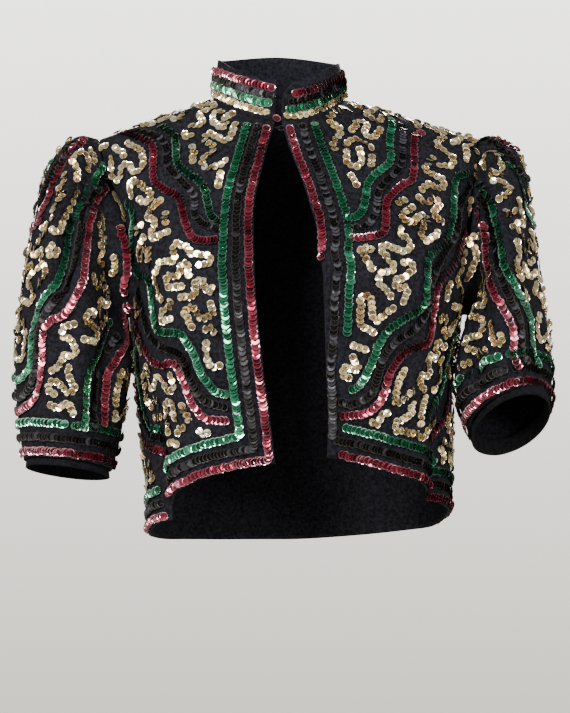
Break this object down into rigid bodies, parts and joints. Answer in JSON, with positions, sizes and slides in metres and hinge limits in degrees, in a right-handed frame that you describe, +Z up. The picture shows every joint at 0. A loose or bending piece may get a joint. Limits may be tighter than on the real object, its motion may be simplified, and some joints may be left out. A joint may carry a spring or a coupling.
{
  "type": "matador jacket",
  "caption": "Cropped evening jacket with a stand collar, open fronts that meet at the neck and short gathered sleeves, in its hollow worn form.",
  "frame": {"origin": "on the figure's own axis, at the height where the shoulder seams meet the collar", "axes": "+X towards the wearer's left, along the longest extent; -Y the front; +Z up, from the shoulders to the collar"},
  "size_m": [0.5069, 0.2312, 0.4703],
  "materials": {
    "black_crepe": "matt black dress crepe",
    "black_facing": "plain black crepe facing",
    "wire": "black japanned wire"
  },
  "bodies": {
    "root": {"front_right": "black_crepe", "front_left": "black_crepe", "back": "black_crepe", "collar": "black_crepe", "sleeve_right": "black_crepe", "sleeve_left": "black_crepe", "cuff_facing_right": "black_facing", "cuff_facing_left": "black_facing", "neck_hook": "wire", "neck_eye": "wire"}
  },
  "joints": []
}
